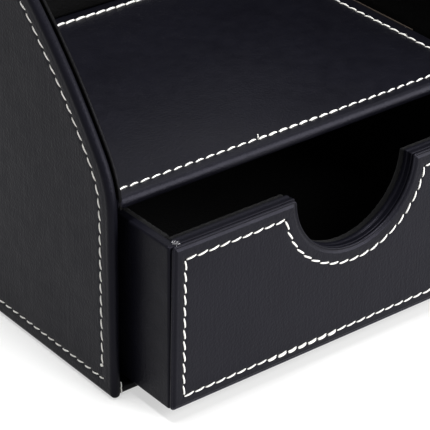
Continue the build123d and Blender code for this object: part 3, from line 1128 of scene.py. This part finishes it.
class MEMO_OT_plain_boards(bpy.types.Operator):
    """Give the frame's own pieces their materials"""

    bl_idname = "memo.plain_boards"
    bl_label = "Boards and linings"

    def execute(self, context):
        for finish_name, nodes in KEPT.items():
            for node in nodes:
                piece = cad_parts[node]
                piece.data.materials.clear()
                piece.data.materials.append(material(finish_name))
        return {"FINISHED"}


# ------------------------------------------------------------------ stage
CAMERA_PLACE = (-426.7 * MM, -551.6 * MM, 412.2 * MM)
CAMERA_AIM = (-47.2 * MM, -70.7 * MM, 60.0 * MM)
CAMERA_ROLL = np.radians(0.5)
LENS = 193.6
LIGHT_AIM = (0, -0.03, 0.06)
LIGHTS = (                   # name, place, width and power
    ("key_light", (0.62, -0.95, 0.5), 1.1, 26),
    ("top_light", (-0.05, 0.02, 1.3), 0.3, 20),
    ("back_light", (0.9, 1.1, 0.95), 1.0, 0.5),
)
AMBIENT = 0.18               # light of the surroundings on the holder
TABLE_REACH = 3.0
SHADOW_NEAR, SHADOW_FAR = 180 * MM, 480 * MM     # the table's shadows fade between these
WHITE_NEAR = 0.54            # share of plain white in the table close by


def soft_light(name, place, size, power):
    """A square soft light that faces the holder."""
    lamp = bpy.data.lights.new(name, "AREA")
    lamp.shape = "SQUARE"
    lamp.size = size
    lamp.energy = power
    light = in_scene(name, lamp)
    light.location = place
    turned = (Vector(LIGHT_AIM) - Vector(place)).to_track_quat("-Z", "Y")
    light.rotation_euler = turned.to_euler()


def seen(tree):
    """1 for the rays that show the background to the eye, or in a gloss, and 0 for the rest."""
    path = add(tree, "LightPath").outputs
    either = maths(tree, "MAXIMUM", path["Is Camera Ray"], path["Is Glossy Ray"])
    return maths(tree, "MAXIMUM", either, path["Is Transmission Ray"])


def white_table():
    """Smooth white table: it keeps the holder's shadow near by and fades to plain white."""
    made, tree, where = blank("white_table")
    matt = add(tree, "BsdfDiffuse", {"Color": linear(bpy.context.scene.memo_colours.floor)})
    white = add(tree, "Emission", {"Color": (1, 1, 1, 1), "Strength": 1.0})
    away = add(tree, "VectorMath", {0: where}, operation="LENGTH").outputs["Value"]
    fade = ranged(tree, away, SHADOW_NEAR, SHADOW_FAR, WHITE_NEAR, 1.0, "SMOOTHSTEP")
    share = maths(tree, "MULTIPLY", seen(tree), fade)
    return shaded(made, "MixShader", {0: share, 1: matt.outputs[0], 2: white.outputs[0]})


def studio_air():
    """White surroundings: full white where they are seen, and a weaker light on the holder."""
    world = bpy.data.worlds.new("studio")
    world.use_nodes = True
    tree = world.node_tree
    air = tree.nodes["Background"].inputs
    tree.links.new(ranged(tree, seen(tree), 0.0, 1.0, AMBIENT), air["Strength"])
    air["Color"].default_value = (1, 1, 1, 1)
    return world


class MEMO_OT_stage(bpy.types.Operator):
    """Set the pale table, the soft lights and the camera"""

    bl_idname = "memo.stage"
    bl_label = "Stage"

    def execute(self, context):
        corners = [(x * TABLE_REACH, y * TABLE_REACH, 0)
                   for x, y in ((-1, -1), (1, -1), (1, 1), (-1, 1))]
        table = mesh_piece("table", corners, [[0, 1, 2, 3]])
        table.data.materials.append(white_table())
        context.scene.world = studio_air()
        for light in LIGHTS:
            soft_light(*light)
        camera = bpy.data.cameras.new("camera")
        camera.lens = LENS
        camera.clip_end = 20
        shot = in_scene("camera", camera)
        place, aim = Vector(CAMERA_PLACE), Vector(CAMERA_AIM)
        turned = (aim - place).to_track_quat("-Z", "Y").to_matrix()
        shot.matrix_world = (Matrix.Translation(place)
                             @ (turned @ Matrix.Rotation(CAMERA_ROLL, 3, "Z")).to_4x4())
        context.scene.camera = shot
        context.scene.view_settings.view_transform = "Standard"
        return {"FINISHED"}


# ------------------------------------------------------------------ panel and registration
STEPS = (MEMO_OT_side_panels, MEMO_OT_liners, MEMO_OT_back_panel, MEMO_OT_shelf,
         MEMO_OT_drawer_front, MEMO_OT_drawer_box, MEMO_OT_drawer_lining, MEMO_OT_loose_ends,
         MEMO_OT_plain_boards, MEMO_OT_stage)


class MEMO_PT_panel(bpy.types.Panel):
    """Lists the steps that dress the holder"""

    bl_idname = "MEMO_PT_panel"
    bl_label = "Memo holder"
    bl_space_type = "VIEW_3D"
    bl_region_type = "UI"
    bl_category = "Memo holder"

    def draw(self, context):
        for group in (context.scene.memo_sizes, context.scene.memo_colours):
            for name in group.bl_rna.properties.keys()[1:]:
                self.layout.prop(group, name)
        for step in STEPS:
            self.layout.operator(step.bl_idname)


CLASSES = (HolderSizes, HolderColours, *STEPS, MEMO_PT_panel)


def register():
    for item in CLASSES:
        bpy.utils.register_class(item)
    bpy.types.Scene.memo_sizes = bpy.props.PointerProperty(type=HolderSizes)
    bpy.types.Scene.memo_colours = bpy.props.PointerProperty(type=HolderColours)


def unregister():
    del bpy.types.Scene.memo_colours
    del bpy.types.Scene.memo_sizes
    for item in reversed(CLASSES):
        bpy.utils.unregister_class(item)


def main():
    """Dresses the holder, step by step."""
    register()
    for step in STEPS:
        getattr(bpy.ops.memo, step.bl_idname.partition(".")[2])()


if __name__ == "__main__":
    main()
